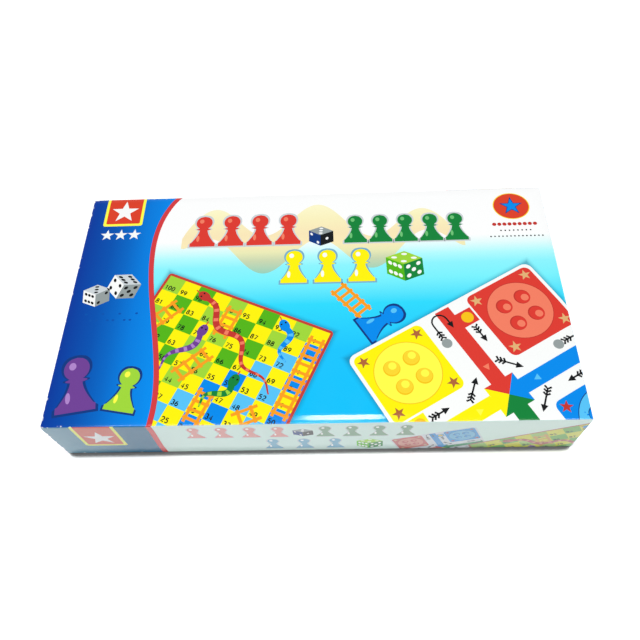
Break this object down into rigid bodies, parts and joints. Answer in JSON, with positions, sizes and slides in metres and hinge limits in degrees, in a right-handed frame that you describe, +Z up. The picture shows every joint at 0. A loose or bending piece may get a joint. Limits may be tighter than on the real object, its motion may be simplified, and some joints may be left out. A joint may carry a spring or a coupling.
{
  "type": "boxed board game set",
  "caption": "Rectangular lidded box with a folding two-sided game board, a card insert, dice, a dice cup and coloured pawns; the lid lifts off and the board unfolds.",
  "frame": {"origin": "centre of the tray's underside, on the table", "axes": "+X along the box's long side, to the right in the picture; +Y to the back; +Z up"},
  "size_m": [0.401, 0.22, 0.058],
  "materials": {
    "greyboard": "matte",
    "corner_tape": "matte",
    "tray_paper": "matte",
    "insert_card": "matte",
    "lid_print": "gloss",
    "ludo_print": "satin",
    "snakes_print": "satin",
    "hinge_cloth": "matte",
    "cup_plastic": "gloss",
    "die_plastic": "gloss",
    "red_plastic": "gloss",
    "yellow_plastic": "gloss",
    "green_plastic": "gloss",
    "blue_plastic": "gloss"
  },
  "bodies": {
    "tray": {"base_board": "greyboard", "base_stays": "corner_tape", "base_wrap": "tray_paper", "card_insert": "insert_card"},
    "lid": {"lid_board": "greyboard", "lid_stays": "corner_tape", "lid_wrap": "lid_print"},
    "lower_leaf": {"lower_leaf_core": "greyboard", "lower_outer_print": "ludo_print", "lower_inner_print": "snakes_print", "lower_hinge_tape": "hinge_cloth"},
    "upper_leaf": {"upper_leaf_core": "greyboard", "upper_outer_print": "ludo_print", "upper_inner_print": "snakes_print", "upper_hinge_tape": "hinge_cloth"},
    "dice_cup_body": {"dice_cup": "cup_plastic"},
    "die_a_body": {"die_a": "die_plastic"},
    "die_b_body": {"die_b": "die_plastic"},
    "red_token_1_body": {"red_token_1": "red_plastic"},
    "red_token_2_body": {"red_token_2": "red_plastic"},
    "red_token_3_body": {"red_token_3": "red_plastic"},
    "red_token_4_body": {"red_token_4": "red_plastic"},
    "yellow_token_1_body": {"yellow_token_1": "yellow_plastic"},
    "yellow_token_2_body": {"yellow_token_2": "yellow_plastic"},
    "yellow_token_3_body": {"yellow_token_3": "yellow_plastic"},
    "yellow_token_4_body": {"yellow_token_4": "yellow_plastic"},
    "green_token_1_body": {"green_token_1": "green_plastic"},
    "green_token_2_body": {"green_token_2": "green_plastic"},
    "green_token_3_body": {"green_token_3": "green_plastic"},
    "green_token_4_body": {"green_token_4": "green_plastic"},
    "blue_token_1_body": {"blue_token_1": "blue_plastic"},
    "blue_token_2_body": {"blue_token_2": "blue_plastic"},
    "blue_token_3_body": {"blue_token_3": "blue_plastic"},
    "blue_token_4_body": {"blue_token_4": "blue_plastic"}
  },
  "joints": [
    {"name": "lid_lift", "type": "slide", "parent": "tray", "child": "lid", "axis": [0, 0, 1], "range_m": [0, 0.75]},
    {"name": "board_lift", "type": "slide", "parent": "tray", "child": "lower_leaf", "axis": [0, 0, 1], "range_m": [0, 0.13]},
    {"name": "board_unfold", "type": "hinge", "parent": "lower_leaf", "child": "upper_leaf", "pos_m": [0, 0.0965, 0.0462], "axis": [-1, 0, 0], "range_deg": [0, 180]},
    {"name": "dice_cup_lift", "type": "slide", "parent": "tray", "child": "dice_cup_body", "axis": [0, 0, 1], "range_m": [0, 0.06]},
    {"name": "die_a_lift", "type": "slide", "parent": "tray", "child": "die_a_body", "axis": [0, 0, 1], "range_m": [0, 0.06]},
    {"name": "die_b_lift", "type": "slide", "parent": "tray", "child": "die_b_body", "axis": [0, 0, 1], "range_m": [0, 0.06]},
    {"name": "red_token_1_lift", "type": "slide", "parent": "tray", "child": "red_token_1_body", "axis": [0, 0, 1], "range_m": [0, 0.06]},
    {"name": "red_token_2_lift", "type": "slide", "parent": "tray", "child": "red_token_2_body", "axis": [0, 0, 1], "range_m": [0, 0.06]},
    {"name": "red_token_3_lift", "type": "slide", "parent": "tray", "child": "red_token_3_body", "axis": [0, 0, 1], "range_m": [0, 0.06]},
    {"name": "red_token_4_lift", "type": "slide", "parent": "tray", "child": "red_token_4_body", "axis": [0, 0, 1], "range_m": [0, 0.06]},
    {"name": "yellow_token_1_lift", "type": "slide", "parent": "tray", "child": "yellow_token_1_body", "axis": [0, 0, 1], "range_m": [0, 0.06]},
    {"name": "yellow_token_2_lift", "type": "slide", "parent": "tray", "child": "yellow_token_2_body", "axis": [0, 0, 1], "range_m": [0, 0.06]},
    {"name": "yellow_token_3_lift", "type": "slide", "parent": "tray", "child": "yellow_token_3_body", "axis": [0, 0, 1], "range_m": [0, 0.06]},
    {"name": "yellow_token_4_lift", "type": "slide", "parent": "tray", "child": "yellow_token_4_body", "axis": [0, 0, 1], "range_m": [0, 0.06]},
    {"name": "green_token_1_lift", "type": "slide", "parent": "tray", "child": "green_token_1_body", "axis": [0, 0, 1], "range_m": [0, 0.06]},
    {"name": "green_token_2_lift", "type": "slide", "parent": "tray", "child": "green_token_2_body", "axis": [0, 0, 1], "range_m": [0, 0.06]},
    {"name": "green_token_3_lift", "type": "slide", "parent": "tray", "child": "green_token_3_body", "axis": [0, 0, 1], "range_m": [0, 0.06]},
    {"name": "green_token_4_lift", "type": "slide", "parent": "tray", "child": "green_token_4_body", "axis": [0, 0, 1], "range_m": [0, 0.06]},
    {"name": "blue_token_1_lift", "type": "slide", "parent": "tray", "child": "blue_token_1_body", "axis": [0, 0, 1], "range_m": [0, 0.06]},
    {"name": "blue_token_2_lift", "type": "slide", "parent": "tray", "child": "blue_token_2_body", "axis": [0, 0, 1], "range_m": [0, 0.06]},
    {"name": "blue_token_3_lift", "type": "slide", "parent": "tray", "child": "blue_token_3_body", "axis": [0, 0, 1], "range_m": [0, 0.06]},
    {"name": "blue_token_4_lift", "type": "slide", "parent": "tray", "child": "blue_token_4_body", "axis": [0, 0, 1], "range_m": [0, 0.06]}
  ],
  "couplings": [
    {"joint": "board_lift", "follows": "lid_lift", "ratio": 0.17333},
    {"joint": "board_unfold", "follows": "lid_lift", "rad_per_m": 4.1888},
    {"joint": "dice_cup_lift", "follows": "lid_lift", "ratio": 0.08},
    {"joint": "die_a_lift", "follows": "lid_lift", "ratio": 0.08},
    {"joint": "die_b_lift", "follows": "lid_lift", "ratio": 0.08},
    {"joint": "red_token_1_lift", "follows": "lid_lift", "ratio": 0.08},
    {"joint": "red_token_2_lift", "follows": "lid_lift", "ratio": 0.08},
    {"joint": "red_token_3_lift", "follows": "lid_lift", "ratio": 0.08},
    {"joint": "red_token_4_lift", "follows": "lid_lift", "ratio": 0.08},
    {"joint": "yellow_token_1_lift", "follows": "lid_lift", "ratio": 0.08},
    {"joint": "yellow_token_2_lift", "follows": "lid_lift", "ratio": 0.08},
    {"joint": "yellow_token_3_lift", "follows": "lid_lift", "ratio": 0.08},
    {"joint": "yellow_token_4_lift", "follows": "lid_lift", "ratio": 0.08},
    {"joint": "green_token_1_lift", "follows": "lid_lift", "ratio": 0.08},
    {"joint": "green_token_2_lift", "follows": "lid_lift", "ratio": 0.08},
    {"joint": "green_token_3_lift", "follows": "lid_lift", "ratio": 0.08},
    {"joint": "green_token_4_lift", "follows": "lid_lift", "ratio": 0.08},
    {"joint": "blue_token_1_lift", "follows": "lid_lift", "ratio": 0.08},
    {"joint": "blue_token_2_lift", "follows": "lid_lift", "ratio": 0.08},
    {"joint": "blue_token_3_lift", "follows": "lid_lift", "ratio": 0.08},
    {"joint": "blue_token_4_lift", "follows": "lid_lift", "ratio": 0.08}
  ]
}
